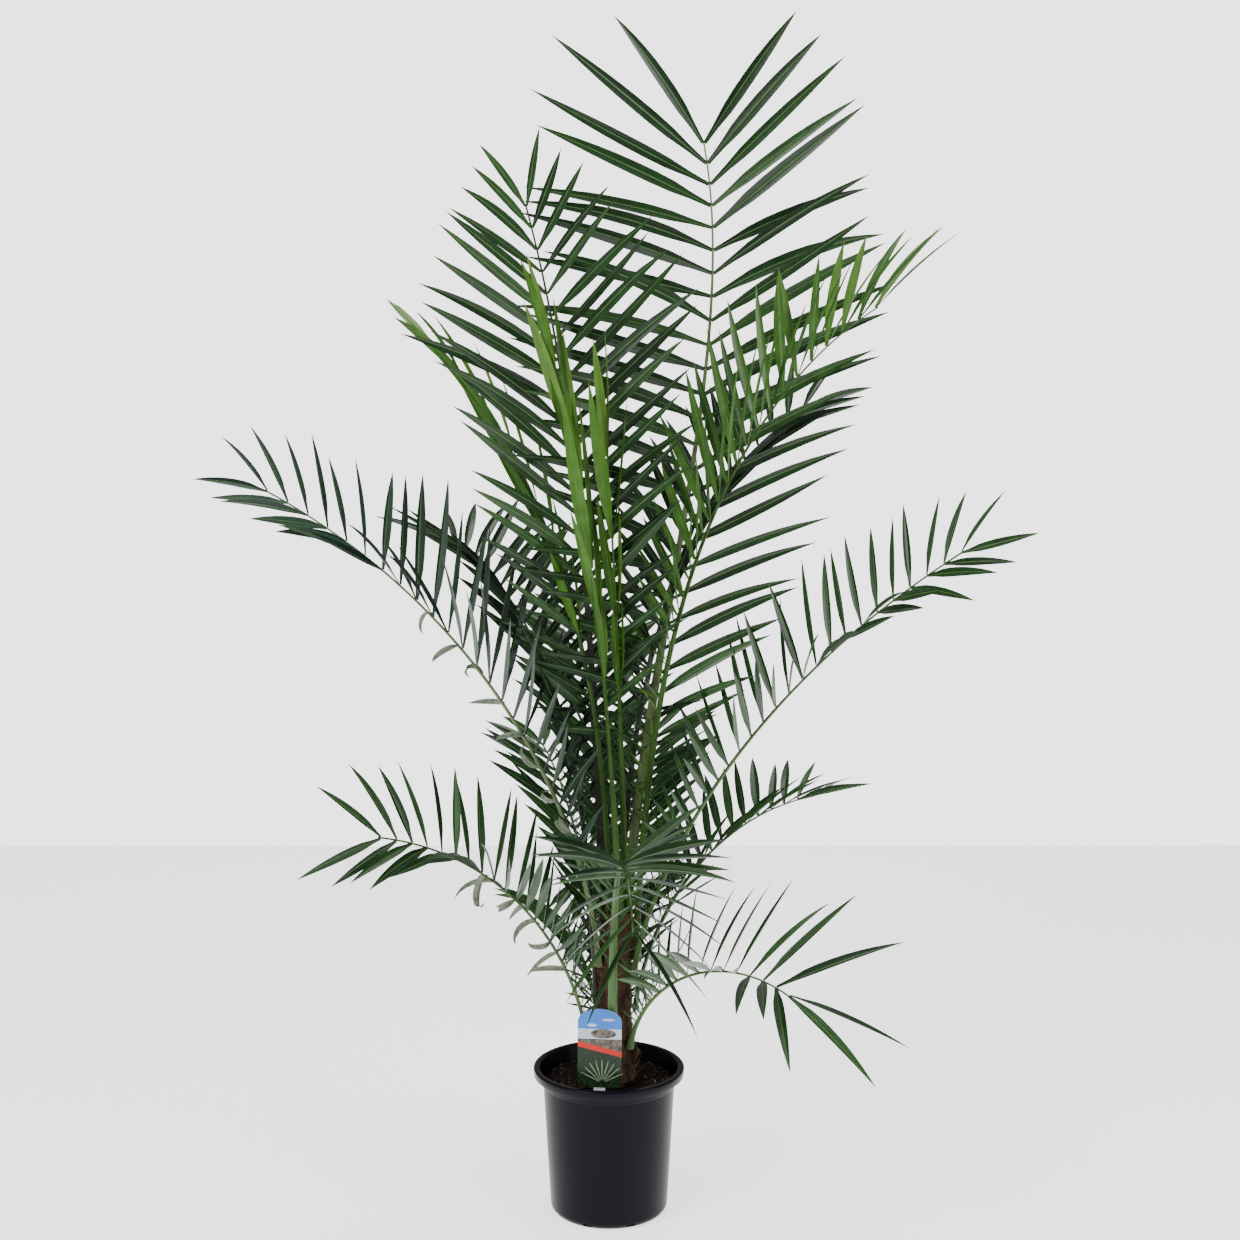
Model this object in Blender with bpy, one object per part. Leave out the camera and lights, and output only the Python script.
"""A potted Canary Island date palm: pot, compost, plant label, trunk and fronds.

Metres, +Z up. The origin is under the middle of the pot, on the surface it stands on.
The camera side of the plant is -Y, so a frond with azimuth 90 leans away from the viewer.
"""
import math
import random
from dataclasses import dataclass

import bmesh
import bpy
from mathutils import Matrix, Vector
from mathutils.bvhtree import BVHTree

# Colours
POT_BLACK = (0.012, 0.012, 0.02)
SOIL_BROWN = (0.03, 0.018, 0.012)
LABEL_BLUE = (0.2, 0.3, 0.35)
FIBRE_BROWN = (0.09, 0.05, 0.028)
FROND_GREEN = (0.03, 0.09, 0.025)
CUTTER_RED = (1.0, 0.0, 0.0)

# Pot: a 24 cm nursery pot, turned about its axis
POT_RIM_RADIUS = 0.120
POT_HEIGHT = 0.240
POT_LIP_HEIGHT = 0.016
POT_COLLAR_RADIUS = 0.1075
POT_COLLAR_HEIGHT = 0.028
POT_WALL_TOP_RADIUS = 0.1045
POT_BASE_RADIUS = 0.0935
POT_CORNER = 0.014
POT_WALL = 0.0025
POT_SEGMENTS = 48
POT_NOTCHES = 8
POT_NOTCH_WIDTH = 0.014
POT_NOTCH_HEIGHT = 0.009

# Compost: fills the pot to a little under its rim
GAP = 0.0004
SOIL_HEIGHT = 0.218
SOIL_CROWN = 0.004
SOIL_SEGMENTS = 32

# Plant label: a rounded plastic tag stood in the compost in front of the trunk
LABEL_WIDTH = 0.069
LABEL_SHOULDER = 0.110
LABEL_ARCH = 0.020
LABEL_STAKE_WIDTH = 0.018
LABEL_STAKE_DEPTH = 0.060
LABEL_THICKNESS = 0.0012
LABEL_PLACE = (-0.015, -0.062)
LABEL_LEAN = math.radians(4)
LABEL_TURN = math.radians(-6)

# Trunk: the fibrous base that all the stems leave, with a flare at the compost
TRUNK_BASE = SOIL_HEIGHT + SOIL_CROWN + GAP
TRUNK_HEIGHT = 0.27
TRUNK_LOW_RADIUS = 0.034
TRUNK_TOP_RADIUS = 0.020
TRUNK_FLARE = 0.008
TRUNK_FLARE_REACH = 0.020
TRUNK_FOOT_X = 0.004
TRUNK_LEAN = 0.012
TRUNK_SIDES = 16
TRUNK_STEPS = 12
STUBS = ((225, 0.10), (305, 0.12), (50, 0.04), (240, 0.03), (340, 0.03), (170, 0.06))
STUB_LENGTH = 0.020
STUB_END = (0.75, 0.75, 0.5)

# Fronds
STALK_TIP = 0.0016
STALK_DEPTH = 1.1
CURVE_STEPS = 96
PETIOLE_RINGS = 5
RING_SPACING = 0.06

# Leaflets: width from a least size and a share of the longest, other sizes shares of their own
# length, angles in degrees
LEAFLET_WIDTH = (0.012, 0.027)
LEAFLET_THICKNESS = 0.011
LEAFLET_WIDEST = 0.38
LEAFLET_ARCH = 0.015
LEAFLET_TWIST = 32
FIRST_LEAFLET = 0.55
LEAFLET_CROWDING = 1.08
TIP_SHARPNESS = 12
SPREAD_SCATTER = 6
VEE_SCATTER = 9
STEEPEST_VEE = 44
LENGTH_SCATTER = (0.92, 1.06)
ROOT_REACH = 0.0035
CLEAR = 0.0006
NEAR_LEAFLETS = 14
BLADE_START = 0.2

# Ways to fit a leaflet in: turned, lifted (degrees), and cut to a share of its length
FITS = ((0, 0, 1.0), (7, 0, 1.0), (-7, 0, 1.0), (0, 10, 1.0), (0, -10, 1.0), (9, 12, 0.9), (-9, -12, 0.9),
        (0, 0, 0.7), (12, 14, 0.7), (-12, 14, 0.7), (0, 20, 0.6), (0, 0, 0.45))


@dataclass
class Frond:
    """One leaf of the palm. Angles are in degrees, sizes in metres.

    azimuth, sweep  the way it leans at its foot, and how far that turns by its tip
    rise, fall      its slope above level at the foot and at the tip
    bend            below 1 it bends early, above 1 late
    length, foot    the whole stalk, and the height above the compost where it starts
    seat            where its foot sits round the trunk
    roll, tip_roll  how the blade turns about the stalk, low down and at the tip
    bare, pairs     the share of the stalk with no leaflets, and the pairs on the rest
    leaf, peak, end the longest leaflet, where on the blade it is, and the last one's share
    spread          the angle from stalk to leaflet, and at the tip
    skew            how much wider one side opens than the other, low down and at the tip
    vee             how far both rows lift out of the blade's plane, low down and at the tip
    droop           how far a leaflet's tip sinks, as a share of its length
    stalk, twist    half the stalk's width at its foot, and how far each leaflet is turned edge up
    split           the share of the stalk where a frond with a wide bend is made as two pieces
    on_top          for the young fronds, how far from the axis they stand on the trunk's top
    """
    name: str
    azimuth: float
    rise: float
    fall: float
    length: float
    foot: float
    seat: float
    sweep: float = 0
    bend: float = 1.0
    roll: float = 0
    tip_roll: float = 0
    bare: float = 0.3
    pairs: int = 20
    leaf: float = 0.20
    peak: float = 0.4
    end: float = 0.7
    spread: float = 60
    tip_spread: float = 22
    skew: float = 0
    tip_skew: float = 0
    vee: float = 30
    tip_vee: float = 10
    droop: float = 0.03
    stalk: float = 0.006
    twist: float = LEAFLET_TWIST
    split: float = None
    on_top: float = None


FRONDS = (
    Frond("frond_tall", azimuth=28, rise=87, fall=48, length=1.40, foot=0.205, seat=60, sweep=72,
          roll=42, tip_roll=-8, bare=0.24, pairs=26, leaf=0.335, peak=0.5, end=1.08, spread=70,
          tip_spread=29, skew=-16, tip_skew=8, vee=15, tip_vee=10, stalk=0.009),
    Frond("frond_high_left", azimuth=117, rise=85, fall=66, length=1.20, foot=0.195, seat=135,
          sweep=12, bend=2.33, roll=-25, tip_roll=-25, bare=0.32, pairs=25, leaf=0.29, peak=0.6,
          end=0.45, spread=53, skew=0, vee=20, tip_vee=15, stalk=0.008),
    Frond("frond_high_right", azimuth=42, rise=85, fall=28, length=1.16, foot=0.195, seat=8,
          sweep=-18, bend=1.93, roll=0, bare=0.45, pairs=20, leaf=0.22, end=0.9, spread=42,
          tip_spread=20, vee=60, tip_vee=50, stalk=0.008),
    Frond("frond_dark_right", azimuth=67, rise=86, fall=21, length=1.06, foot=0.150, seat=82,
          sweep=-28, bend=1.66, tip_roll=30, bare=0.42, pairs=18, leaf=0.19, end=0.7, spread=50,
          vee=50, tip_vee=20),
    Frond("frond_long_left", azimuth=187, rise=85, fall=28, length=0.95, foot=0.185, seat=195,
          sweep=-12, bend=0.95, roll=-5, tip_roll=-45, bare=0.26, pairs=22, leaf=0.25, peak=0.35,
          end=0.5, spread=52, tip_spread=25, vee=52, tip_vee=10, split=0.24),
    Frond("frond_long_right", azimuth=-6, rise=85, fall=33, length=0.88, foot=0.160, seat=-25,
          sweep=6, bend=0.66, roll=5, tip_roll=48, bare=0.26, pairs=23, leaf=0.19, end=0.65,
          spread=62, tip_spread=25, vee=52, tip_vee=10, split=0.24),
    Frond("frond_dark_left", azimuth=133, rise=85, fall=8, length=0.84, foot=0.130, seat=165,
          sweep=-4, bend=2.2, bare=0.42, pairs=20, leaf=0.19, end=0.8, spread=62,
          tip_spread=30, vee=40, tip_vee=25),
    Frond("frond_low_right", azimuth=42, rise=77, fall=3, length=0.50, foot=0.110, seat=5,
          sweep=-16, bend=1.0, bare=0.40, pairs=13, leaf=0.14, end=0.75, spread=55,
          tip_spread=18, vee=45, tip_vee=20, stalk=0.005),
    Frond("frond_low_left", azimuth=191, rise=85, fall=8, length=0.55, foot=0.025, seat=205,
          sweep=-3, bend=1.15, roll=-5, tip_roll=-62, bare=0.33, pairs=17, leaf=0.165, end=0.85,
          spread=62, tip_spread=35, vee=50, tip_vee=10, stalk=0.005, split=0.30),
    Frond("frond_low_front", azimuth=-30, rise=80, fall=-30, length=0.36, foot=0.055, seat=-40,
          sweep=2, bend=0.98, roll=10, tip_roll=25, bare=0.33, pairs=12, leaf=0.22, peak=0.9,
          end=0.95, spread=75, tip_spread=15, vee=45, tip_vee=20, stalk=0.005, split=0.30),
    Frond("frond_front", azimuth=-87, rise=84, fall=-62, length=0.60, foot=0.060, seat=-92,
          sweep=3, bend=2.1, bare=0.55, pairs=15, leaf=0.20, end=0.8, spread=48, tip_spread=30,
          vee=26, tip_vee=8, stalk=0.008, droop=0.05, twist=62, split=0.50),
    Frond("frond_back_left", azimuth=108, rise=80, fall=14, length=0.54, foot=0.075, seat=128,
          bare=0.35, pairs=15, leaf=0.17, spread=60, vee=40, bend=1.2, stalk=0.005),
    Frond("frond_back_middle", azimuth=98, rise=78, fall=10, length=0.76, foot=0.120, seat=106,
          bare=0.35, pairs=17, leaf=0.19, spread=60, vee=40, bend=1.3, stalk=0.005),
    Frond("frond_back_right", azimuth=80, rise=78, fall=14, length=0.56, foot=0.080, seat=66,
          bare=0.35, pairs=15, leaf=0.17, spread=60, vee=40, bend=1.2, stalk=0.005),
    Frond("frond_low_back_left", azimuth=112, rise=72, fall=-12, length=0.36, foot=0.030, seat=112,
          bare=0.35, pairs=9, leaf=0.14, vee=40, stalk=0.005),
    Frond("frond_low_back_right", azimuth=80, rise=74, fall=-12, length=0.40, foot=0.025, seat=90,
          bare=0.35, pairs=9, leaf=0.14, vee=40, stalk=0.005),
    Frond("frond_young_left", azimuth=140, rise=87, fall=37, length=0.99, foot=0.27, seat=150,
          sweep=6, bend=1.59, bare=0.45, pairs=8, leaf=0.26, peak=0.5, end=0.4, spread=12,
          tip_spread=5, vee=0, tip_vee=0, twist=55, stalk=0.006, on_top=0.013),
    Frond("frond_young_middle", azimuth=165, rise=88, fall=76, length=0.84, foot=0.27, seat=270,
          bend=1.5, bare=0.45, pairs=6, leaf=0.30, peak=0.5, end=0.7, spread=10, tip_spread=4,
          vee=0, tip_vee=0, twist=55, stalk=0.006, on_top=0.010),
    Frond("frond_spear", azimuth=130, rise=89, fall=84, length=0.72, foot=0.27, seat=30,
          bend=1.2, bare=0.50, pairs=4, leaf=0.26, peak=0.6, end=0.8, spread=7, tip_spread=3,
          vee=0, tip_vee=0, twist=60, stalk=0.006, on_top=0.010),
)


def clear_scene():
    for old in list(bpy.data.objects):
        bpy.data.objects.remove(old, do_unlink=True)


def material(name, colour, roughness, metallic=0.0):
    mat = bpy.data.materials.new(name)
    mat.use_nodes = True
    shader = mat.node_tree.nodes["Principled BSDF"]
    shader.inputs["Base Color"].default_value = (*colour, 1.0)
    shader.inputs["Roughness"].default_value = roughness
    shader.inputs["Metallic"].default_value = metallic
    return mat


def finish(name, bm, mat, smooth=False):
    """Turn a bmesh into a named object with its own material."""
    bmesh.ops.recalc_face_normals(bm, faces=bm.faces)
    mesh = bpy.data.meshes.new(name)
    bm.to_mesh(mesh)
    bm.free()
    mesh.materials.append(mat)
    if smooth:
        mesh.shade_smooth()
        mesh.set_sharp_from_angle(angle=math.radians(35))
    obj = bpy.data.objects.new(name, mesh)
    bpy.context.collection.objects.link(obj)
    return obj


def turned(profile, segments):
    """A solid of revolution about Z. The profile starts and ends on the axis."""
    bm = bmesh.new()
    verts = [bm.verts.new((radius, 0, height)) for radius, height in profile]
    edges = [bm.edges.new(pair) for pair in zip(verts, verts[1:])]
    bmesh.ops.spin(bm, geom=verts + edges, cent=(0, 0, 0), axis=(0, 0, 1),
                   angle=math.tau, steps=segments, use_merge=True)
    bmesh.ops.remove_doubles(bm, verts=bm.verts, dist=1e-6)
    return bm


def arc(centre, radius, start, stop, steps):
    """Points on an arc in the profile plane, angles in degrees."""
    points = []
    for i in range(steps + 1):
        angle = math.radians(start + (stop - start) * i / steps)
        points.append((centre[0] + radius * math.cos(angle), centre[1] + radius * math.sin(angle)))
    return points


def wall_radius(height):
    """Outer radius of the pot's straight wall."""
    top = POT_HEIGHT - POT_COLLAR_HEIGHT
    share = (height - POT_CORNER) / (top - POT_CORNER)
    return POT_BASE_RADIUS + (POT_WALL_TOP_RADIUS - POT_BASE_RADIUS) * share


def cut(target, cutter):
    """Take one object away from another and drop the cutter."""
    modifier = target.modifiers.new("cut", "BOOLEAN")
    modifier.operation = "DIFFERENCE"
    modifier.solver = "EXACT"
    modifier.object = cutter
    depsgraph = bpy.context.evaluated_depsgraph_get()
    mesh = bpy.data.meshes.new_from_object(target.evaluated_get(depsgraph))
    target.modifiers.remove(modifier)
    old = target.data
    target.data = mesh
    mesh.name = target.name
    bpy.data.meshes.remove(old)
    bpy.data.objects.remove(cutter, do_unlink=True)


def make_pot():
    lip = 0.003
    step_under_lip = POT_HEIGHT - POT_LIP_HEIGHT
    step_under_collar = POT_HEIGHT - POT_COLLAR_HEIGHT
    outer = [(0, 0), (POT_BASE_RADIUS - POT_CORNER, 0)]
    outer += arc((POT_BASE_RADIUS - POT_CORNER, POT_CORNER), POT_CORNER, -72, 0, 4)
    outer += [(wall_radius(step_under_collar), step_under_collar)]
    outer += [(POT_COLLAR_RADIUS, step_under_collar + 0.002)]
    outer += [(POT_COLLAR_RADIUS + 0.002, step_under_lip)]
    outer += [(POT_RIM_RADIUS - 0.002, step_under_lip + 0.002)]
    outer += arc((POT_RIM_RADIUS - lip, POT_HEIGHT - lip), lip, 0, 90, 3)
    inner = [(POT_RIM_RADIUS - 0.008, POT_HEIGHT)]
    inner += [(POT_RIM_RADIUS - 0.0105, POT_HEIGHT - 0.003)]
    inner += [(POT_COLLAR_RADIUS - POT_WALL, step_under_lip - 0.004)]
    inner += [(wall_radius(step_under_collar) - POT_WALL, step_under_collar)]
    inner += [(wall_radius(POT_CORNER) - POT_WALL, POT_CORNER)]
    inner += [(POT_BASE_RADIUS - POT_CORNER, POT_WALL), (0, POT_WALL)]
    plastic = material("pot_plastic", POT_BLACK, 0.3)
    pot = finish("pot", turned(outer + inner, POT_SEGMENTS), plastic, smooth=True)
    for i in range(POT_NOTCHES):
        bm = bmesh.new()
        bmesh.ops.create_cube(bm, size=1.0)
        depth = POT_CORNER
        bmesh.ops.scale(bm, vec=(depth, POT_NOTCH_WIDTH, 2 * POT_NOTCH_HEIGHT), verts=bm.verts)
        bmesh.ops.translate(bm, vec=(POT_BASE_RADIUS - 0.002, 0, 0), verts=bm.verts)
        turn = Matrix.Rotation(math.tau * (i + 0.5) / POT_NOTCHES, 4, "Z")
        bmesh.ops.transform(bm, matrix=turn, verts=bm.verts)
        cut(pot, finish("notch", bm, material("cutter", CUTTER_RED, 0.5)))
    return pot


def make_compost():
    top = SOIL_HEIGHT
    collar = POT_HEIGHT - POT_COLLAR_HEIGHT
    skin = POT_WALL + GAP
    profile = [(0, POT_WALL + GAP), (POT_BASE_RADIUS - POT_CORNER - GAP, POT_WALL + GAP)]
    profile += [(wall_radius(POT_CORNER) - skin - 0.0002, POT_CORNER)]
    profile += [(wall_radius(collar) - skin - 0.0003, collar)]
    profile += [(wall_radius(collar) - skin - 0.0003, top)]
    profile += [(0.07, top + SOIL_CROWN * 0.6), (0.048, top + SOIL_CROWN), (0, top + SOIL_CROWN)]
    return finish("compost", turned(profile, SOIL_SEGMENTS), material("compost", SOIL_BROWN, 0.95))


def label_outline():
    """Outline of the tag and its stake, from the stake's tip upward, in its own plane."""
    half = LABEL_WIDTH / 2
    stake = LABEL_STAKE_WIDTH / 2
    corner = 0.010
    right = [(0, -LABEL_STAKE_DEPTH), (stake, -LABEL_STAKE_DEPTH + stake)]
    right += [(stake, 0.004)]
    right += arc((half - corner, 0.004 + corner), corner, -90, 0, 3)
    top = []
    for i in range(13):
        angle = math.pi * i / 12
        top.append((half * math.cos(angle), LABEL_SHOULDER + LABEL_ARCH * math.sin(angle)))
    left = [(-x, z) for x, z in reversed(right[1:])]
    return right + top + left


def label_matrix():
    x, y = LABEL_PLACE
    return (Matrix.Translation((x, y, SOIL_HEIGHT + SOIL_CROWN)) @ Matrix.Rotation(LABEL_TURN, 4, "Z")
            @ Matrix.Rotation(-LABEL_LEAN, 4, "X"))


def plate(outline, thickness):
    """A flat plate of that outline, centred on the XZ plane."""
    bm = bmesh.new()
    face = bm.faces.new([bm.verts.new((x, -thickness / 2, z)) for x, z in outline])
    grown = bmesh.ops.extrude_face_region(bm, geom=[face])
    moved = [v for v in grown["geom"] if isinstance(v, bmesh.types.BMVert)]
    bmesh.ops.translate(bm, vec=(0, thickness, 0), verts=moved)
    bmesh.ops.triangulate(bm, faces=bm.faces)
    return bm


def make_label(compost):
    """The tag, and the slot that its stake sits in."""
    bm = plate(label_outline(), LABEL_THICKNESS)
    bmesh.ops.transform(bm, matrix=label_matrix(), verts=bm.verts)
    label = finish("label", bm, material("label_plastic", LABEL_BLUE, 0.35))
    stake = LABEL_STAKE_WIDTH / 2 + GAP
    slot = [(0, -LABEL_STAKE_DEPTH - 2 * GAP), (stake, -LABEL_STAKE_DEPTH + stake), (stake, 0.02)]
    slot += [(-x, z) for x, z in reversed(slot[1:])]
    bm = plate(slot, LABEL_THICKNESS + 2 * GAP)
    bmesh.ops.transform(bm, matrix=label_matrix(), verts=bm.verts)
    cut(compost, finish("slot", bm, material("cutter", CUTTER_RED, 0.5)))
    return label


def trunk_axis(height):
    """Middle of the trunk at a height above the compost."""
    return Vector((TRUNK_FOOT_X + TRUNK_LEAN * height / TRUNK_HEIGHT, 0, TRUNK_BASE + height))


def trunk_radius(height):
    share = min(max(height / TRUNK_HEIGHT, 0), 1)
    taper = TRUNK_LOW_RADIUS + (TRUNK_TOP_RADIUS - TRUNK_LOW_RADIUS) * share
    return taper + TRUNK_FLARE * math.exp(-height / TRUNK_FLARE_REACH)


def make_trunk():
    bm = bmesh.new()
    bmesh.ops.create_cone(bm, cap_ends=True, segments=TRUNK_SIDES, radius1=1, radius2=1, depth=1)
    around = [e for e in bm.edges if abs(e.verts[0].co.z - e.verts[1].co.z) > 0.5]
    bmesh.ops.subdivide_edges(bm, edges=around, cuts=TRUNK_STEPS - 1)
    inside = math.cos(math.pi / TRUNK_SIDES)
    for vert in bm.verts:
        height = (vert.co.z + 0.5) * TRUNK_HEIGHT
        radius = trunk_radius(height)
        axis = trunk_axis(height)
        vert.co = (axis.x + vert.co.x * radius, axis.y + vert.co.y * radius, axis.z)
    for azimuth, height in STUBS:
        out = direction(azimuth, 0)
        spot = trunk_axis(height) + out * trunk_radius(height) * inside
        sides = [f for f in bm.faces if abs(f.normal.z) < 0.6]
        face = min(sides, key=lambda f: (f.calc_center_median() - spot).length)
        grow_stub(bm, face, out)
    return finish("trunk", bm, material("trunk_fibre", FIBRE_BROWN, 0.9))


def grow_stub(bm, face, out):
    """The short base of an old leaf, drawn out of one face and narrowed to its cut end."""
    grown = bmesh.ops.extrude_discrete_faces(bm, faces=[face])["faces"][0]
    shift = out * STUB_LENGTH * 0.6 + Vector((0, 0, STUB_LENGTH))
    bmesh.ops.translate(bm, vec=shift, verts=grown.verts)
    middle = grown.calc_center_median()
    shrink = Matrix.Translation(middle) @ Matrix.Diagonal((*STUB_END, 1)) @ Matrix.Translation(-middle)
    bmesh.ops.transform(bm, matrix=shrink, verts=grown.verts)


def direction(azimuth, slope):
    """Unit vector from a compass angle and a slope, in degrees."""
    a, e = math.radians(azimuth), math.radians(slope)
    return Vector((math.cos(e) * math.cos(a), math.cos(e) * math.sin(a), math.sin(e)))


def blend(start, stop, share):
    return start + (stop - start) * share


def ease(share):
    share = min(max(share, 0), 1)
    return share * share * (3 - 2 * share)


def foot_of(frond):
    """Where the frond's stalk starts: on the trunk's flank, or on its flat top."""
    out = direction(frond.seat, 0)
    if frond.on_top is not None:
        lift = Vector((0, 0, GAP + frond.on_top * 0.05))
        return trunk_axis(TRUNK_HEIGHT) + out * frond.on_top + lift
    return trunk_axis(frond.foot) + out * (trunk_radius(frond.foot) + GAP)


def stalk_frames(frond, steps=CURVE_STEPS):
    """Place, direction, upper side and right side all along the stalk."""
    frames = []
    place = foot_of(frond)
    step = frond.length / steps
    seat_turn = frond.seat - frond.azimuth
    for i in range(steps + 1):
        along = i / steps
        slope = blend(frond.rise, frond.fall, along ** frond.bend)
        azimuth = frond.azimuth + frond.sweep * along
        forward = direction(azimuth, slope)
        up = direction(azimuth, slope + 90)
        blade = max(along - frond.bare, 0) / (1 - frond.bare)
        roll = blend(seat_turn, frond.roll, ease(along / frond.bare))
        roll = math.radians(roll + (frond.tip_roll - frond.roll) * blade ** 2)
        up = up * math.cos(roll) + forward.cross(up) * math.sin(roll)
        side = forward.cross(up)
        if i:
            place = place + (frames[-1][1] + forward) * (step / 2)
        frames.append((place.copy(), forward, up, side))
    return frames


def frame_at(frames, along):
    """Place and axes at a share of the stalk's length."""
    spot = min(max(along, 0), 1) * (len(frames) - 1)
    i = min(int(spot), len(frames) - 2)
    share = spot - i
    place = frames[i][0].lerp(frames[i + 1][0], share)
    axes = [frames[i][k].lerp(frames[i + 1][k], share).normalized() for k in (1, 2, 3)]
    return (place, *axes)


def stalk_size(frond, along):
    """Half width and depth of the three-sided stalk."""
    half = blend(frond.stalk, STALK_TIP, ease(along) ** 0.8)
    return half, half * STALK_DEPTH


@dataclass
class Leaflet:
    """One leaflet: its place on the stalk, its row (-1 or 1), its angles and its length."""
    along: float
    side: int
    spread: float
    vee: float
    length: float
    fit: tuple = FITS[0]


def leaflets_of(frond, number):
    """Every leaflet of a frond, by one rule with a small seeded scatter."""
    rng = random.Random(number)
    found = []
    for i in range(frond.pairs):
        u = i / (frond.pairs - 1)
        along = blend(frond.bare, 1 - ROOT_REACH * 1.1 / frond.length, u ** LEAFLET_CROWDING)
        grown = min(u / frond.peak, 1)
        past = max(u - frond.peak, 0) / (1 - frond.peak)
        length = frond.leaf * blend(FIRST_LEAFLET, 1, grown) * blend(1, frond.end, past ** 1.3)
        for side in (-1, 1):
            scatter = 1 - u ** TIP_SHARPNESS
            spread = blend(frond.spread, frond.tip_spread, u ** TIP_SHARPNESS)
            spread += side * blend(frond.skew, frond.tip_skew, u ** TIP_SHARPNESS)
            spread += rng.uniform(-SPREAD_SCATTER, SPREAD_SCATTER) * scatter
            vee = blend(frond.vee, frond.tip_vee, u ** 2) + rng.uniform(-VEE_SCATTER, VEE_SCATTER) * scatter
            found.append(Leaflet(along, side, spread, vee, length * rng.uniform(*LENGTH_SCATTER)))
    return found


def leaflet_shape(frond, frames, leaflet, fit, grow=0.0):
    """A leaflet's root, the four corners at its widest place, and its tip."""
    turn, lift, cut_to = fit
    place, forward, up, side = frame_at(frames, leaflet.along)
    spread = math.radians(leaflet.spread + turn)
    vee = math.radians(min(leaflet.vee + lift, STEEPEST_VEE))
    out = side * leaflet.side * math.cos(vee) + up * math.sin(vee)
    way = (forward * math.cos(spread) + out * math.sin(spread)).normalized()
    ahead = (forward - way * forward.dot(way)).normalized()
    normal = way.cross(ahead) * leaflet.side
    twist = math.radians(frond.twist)
    across = ahead * math.cos(twist) + normal * math.sin(twist)
    face = normal * math.cos(twist) - ahead * math.sin(twist)
    length = leaflet.length * cut_to
    widest = LEAFLET_WIDTH[0] + LEAFLET_WIDTH[1] * frond.leaf
    half = widest / 2 * math.sqrt(leaflet.length * cut_to / frond.leaf) + grow
    thick = leaflet.length * LEAFLET_THICKNESS / 2 + grow
    root = place + side * leaflet.side * stalk_size(frond, leaflet.along)[0] * 0.8
    middle = root + way * length * LEAFLET_WIDEST + Vector((0, 0, LEAFLET_ARCH * length))
    square = ((-1, -1), (1, -1), (1, 1), (-1, 1))
    corners = [middle + across * half * a + face * thick * b for a, b in square]
    tip = root + way * (length + grow) + Vector((0, 0, -frond.droop * length))
    return root, corners, tip


def ring_corners(frond, frames, along, grow=0.0):
    """The stalk's three corners: two on its upper side and its keel."""
    place, forward, up, side = frame_at(frames, along)
    half, deep = stalk_size(frond, along)
    half, deep = half + grow, deep + grow
    return [place + side * half + up * grow, place - side * half + up * grow, place - up * deep]


def side_face(frond, frames, leaflet, grow=0.0):
    """The piece of the stalk's side that a leaflet is drawn out of, in the order of its corners."""
    reach = ROOT_REACH / frond.length
    upper = 0 if leaflet.side > 0 else 1
    before = ring_corners(frond, frames, leaflet.along - reach, grow)
    after = ring_corners(frond, frames, leaflet.along + reach, grow)
    return [before[2], after[2], after[upper], before[upper]]


def leaflet_tree(frond, frames, leaflet, fit, start):
    """A collision test shape round the leaflet, from a share of the way to its widest place."""
    root, corners, tip = leaflet_shape(frond, frames, leaflet, fit, CLEAR)
    base = side_face(frond, frames, leaflet, CLEAR * 0.5)
    points = [low.lerp(corner, start) for low, corner in zip(base, corners)] + corners + [tip]
    faces = [(0, 1, 2, 3)]
    for i in range(4):
        j = (i + 1) % 4
        faces.append((i, j, j + 4, i + 4))
        faces.append((i + 4, j + 4, 8))
    return BVHTree.FromPolygons(points, faces)


def ring_stations(frond, leaflets, start, stop):
    """Where a stalk has its rings, each with the leaflets that leave the piece ending there."""
    pairs = {}
    for leaflet in leaflets:
        pairs.setdefault(leaflet.along, []).append(leaflet)
    reach = ROOT_REACH / frond.length
    first = min(pairs) - 3 * reach if pairs else stop
    rings = round((first - start) * frond.length / RING_SPACING)
    rings = max(min(rings, PETIOLE_RINGS), 1)
    stations = [(blend(start, first, i / rings), ()) for i in range(rings)]
    for along in sorted(pairs):
        stations.append((along - reach, ()))
        stations.append((min(along + reach, stop), pairs[along]))
    if stations[-1][0] < stop - 1e-4:
        stations.append((stop, ()))
    return stations


def stalk_tree(frond, frames, grow):
    """A collision test shape of the whole stalk."""
    steps = len(frames) - 1
    points = []
    for i in range(steps + 1):
        points += ring_corners(frond, frames, i / steps, grow)
    faces = []
    for i in range(steps):
        for a in range(3):
            b = (a + 1) % 3
            faces.append((3 * i + a, 3 * i + b, 3 * i + 3 + b, 3 * i + 3 + a))
    return BVHTree.FromPolygons(points, faces)


def blade(name, frond, frames, leaflets, start, stop, mat):
    """One closed solid: a three-sided stalk with its leaflets drawn out of its sides."""
    stations = ring_stations(frond, leaflets, start, stop)
    bm = bmesh.new()
    cone = bmesh.ops.create_cone(bm, cap_ends=True, segments=3, radius1=1, radius2=1, depth=2)
    around = sorted(cone["verts"], key=lambda v: math.atan2(v.co.y, v.co.x))
    low = [v for v in around if v.co.z < 0]
    ring = [v for v in around if v.co.z > 0]
    for verts, station in ((low, stations[0]), (ring, stations[1])):
        for vert, corner in zip(verts, ring_corners(frond, frames, station[0])):
            vert.co = corner
    cap = next(f for f in bm.faces if all(v in ring for v in f.verts))
    for along, pair in stations[2:]:
        cap, ring, sides = extend(bm, cap, ring, ring_corners(frond, frames, along))
        for leaflet in pair:
            draw_leaflet(bm, sides[leaflet.side], frond, frames, leaflet)
    return finish(name, bm, mat)


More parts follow.
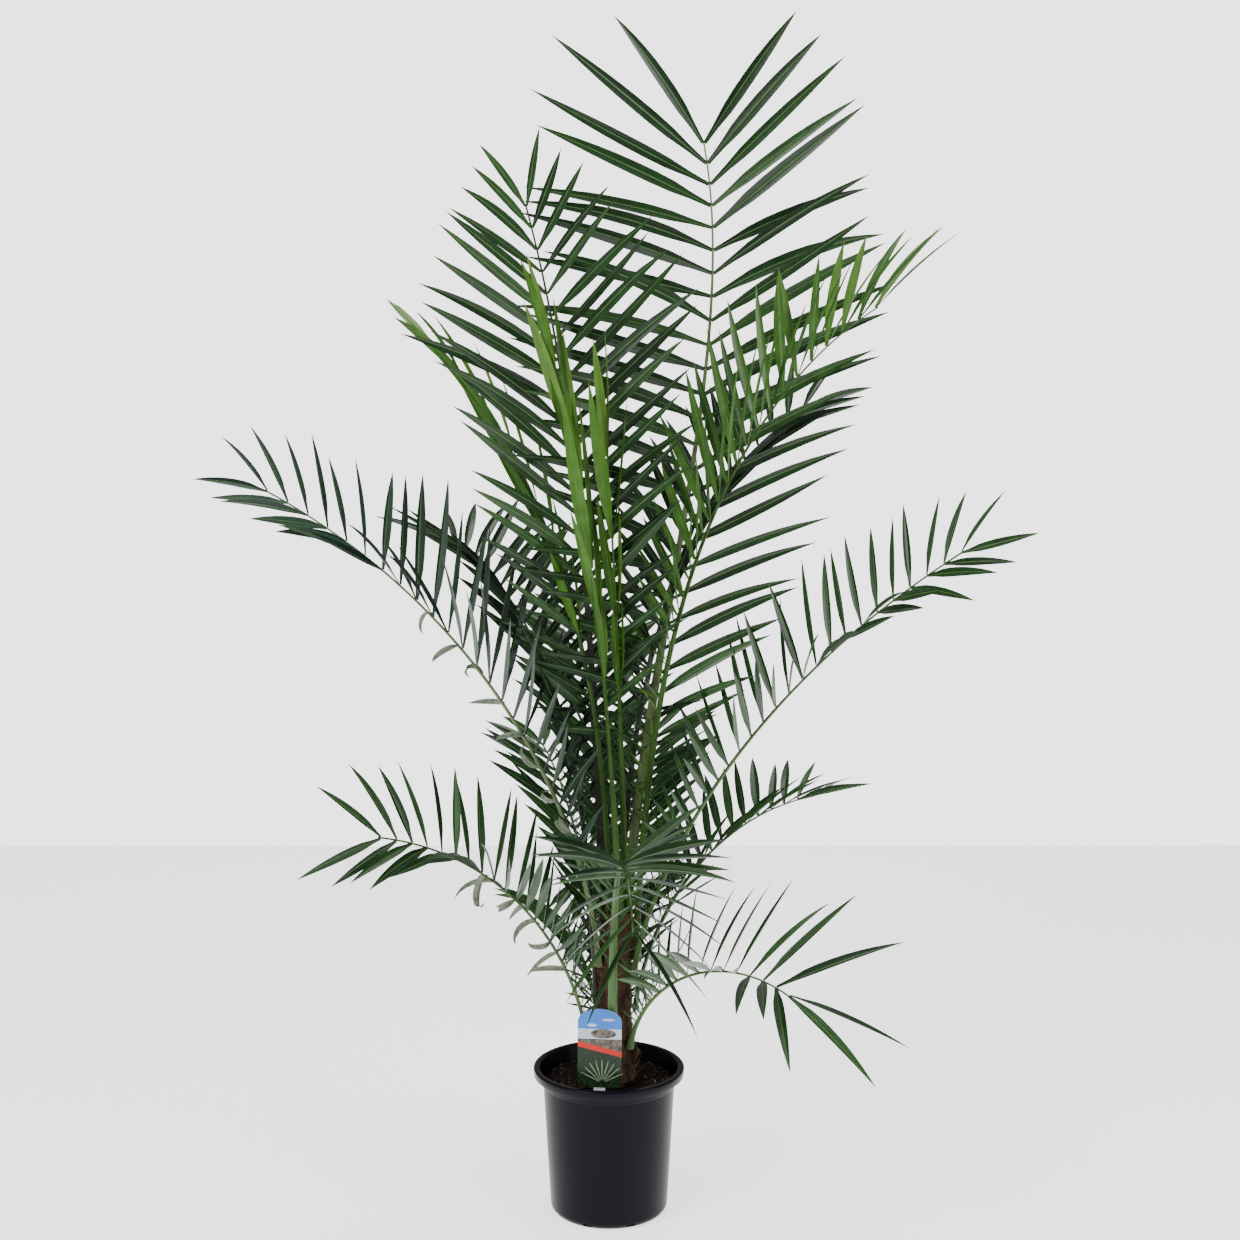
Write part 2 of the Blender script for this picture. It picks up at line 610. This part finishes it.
def extend(bm, cap, ring, corners):
    """Draw the stalk's end on to the next ring, and find its two side faces."""
    old = [v.co.copy() for v in ring]
    cap = bmesh.ops.extrude_discrete_faces(bm, faces=[cap])["faces"][0]
    fresh = [min(cap.verts, key=lambda v: (v.co - place).length) for place in old]
    for vert, corner in zip(fresh, corners):
        vert.co = corner
    sides = {}
    for side, pair in ((1, (0, 2)), (-1, (1, 2))):
        edge = bm.edges.get((fresh[pair[0]], fresh[pair[1]]))
        sides[side] = next(f for f in edge.link_faces if f is not cap)
    return cap, fresh, sides


def draw_leaflet(bm, face, frond, frames, leaflet):
    """Draw a side face out to the leaflet's widest place, then to its tip."""
    root, corners, tip = leaflet_shape(frond, frames, leaflet, leaflet.fit)
    middle = face.calc_center_median()
    place, forward, up, side = frame_at(frames, leaflet.along)
    grown = bmesh.ops.extrude_discrete_faces(bm, faces=[face])["faces"][0]
    for vert in grown.verts:
        ahead = (vert.co - middle).dot(forward) > 0
        above = (vert.co - middle).dot(up) > 0
        if above:
            vert.co = corners[2] if ahead else corners[3]
        else:
            vert.co = corners[1] if ahead else corners[0]
    bmesh.ops.poke(bm, faces=[grown])["verts"][0].co = tip


def place_leaflets(frond, frames, leaflets, own_stalk, solids):
    """Keep each leaflet that can stand clear of all the others, turned or cut a little if need be."""
    kept = []
    whole = []
    outer = []
    for leaflet in leaflets:
        for fit in FITS:
            tree = leaflet_tree(frond, frames, leaflet, fit, 0.0)
            blade_part = leaflet_tree(frond, frames, leaflet, fit, BLADE_START)
            if any(tree.overlap(other) for other in solids):
                continue
            if any(blade_part.overlap(other) for other in outer[-NEAR_LEAFLETS:] + [own_stalk]):
                continue
            leaflet.fit = fit
            kept.append(leaflet)
            whole.append(tree)
            outer.append(blade_part)
            break
    return kept, whole


def object_tree(obj):
    bm = bmesh.new()
    bm.from_mesh(obj.data)
    tree = BVHTree.FromBMesh(bm)
    bm.free()
    return tree


def make_frond(frond, frames, leaflets, green):
    """The frond's solid, or two with a hairline gap where a wide bend is split."""
    if frond.split is None:
        blade(frond.name, frond, frames, leaflets, 0.0, 1.0, green)
        return
    seam = GAP / frond.length
    margin = 3 * ROOT_REACH / frond.length
    inner = [leaf for leaf in leaflets if leaf.along < frond.split - margin]
    outer = [leaf for leaf in leaflets if leaf.along > frond.split + margin]
    blade(frond.name + "_stalk", frond, frames, inner, 0.0, frond.split, green)
    blade(frond.name, frond, frames, outer, frond.split + seam, 1.0, green)


def build():
    clear_scene()
    pot = make_pot()
    compost = make_compost()
    label = make_label(compost)
    trunk = make_trunk()
    solids = [object_tree(obj) for obj in (pot, compost, label, trunk)]
    frames = {frond.name: stalk_frames(frond) for frond in FRONDS}
    stalks = {frond.name: stalk_tree(frond, frames[frond.name], CLEAR) for frond in FRONDS}
    for number, frond in enumerate(FRONDS):
        own = frames[frond.name]
        for other in FRONDS[number + 1:]:
            if stalks[frond.name].overlap(stalks[other.name]):
                print("stalks touch:", frond.name, other.name)
        others = [tree for name, tree in stalks.items() if name != frond.name]
        wanted = leaflets_of(frond, number)
        kept, trees = place_leaflets(frond, own, wanted, stalks[frond.name], solids + others)
        solids += trees
        green = material(frond.name + "_green", FROND_GREEN, 0.45)
        make_frond(frond, own, kept, green)
        print(frond.name, "leaflets", len(kept), "of", 2 * frond.pairs)


build()
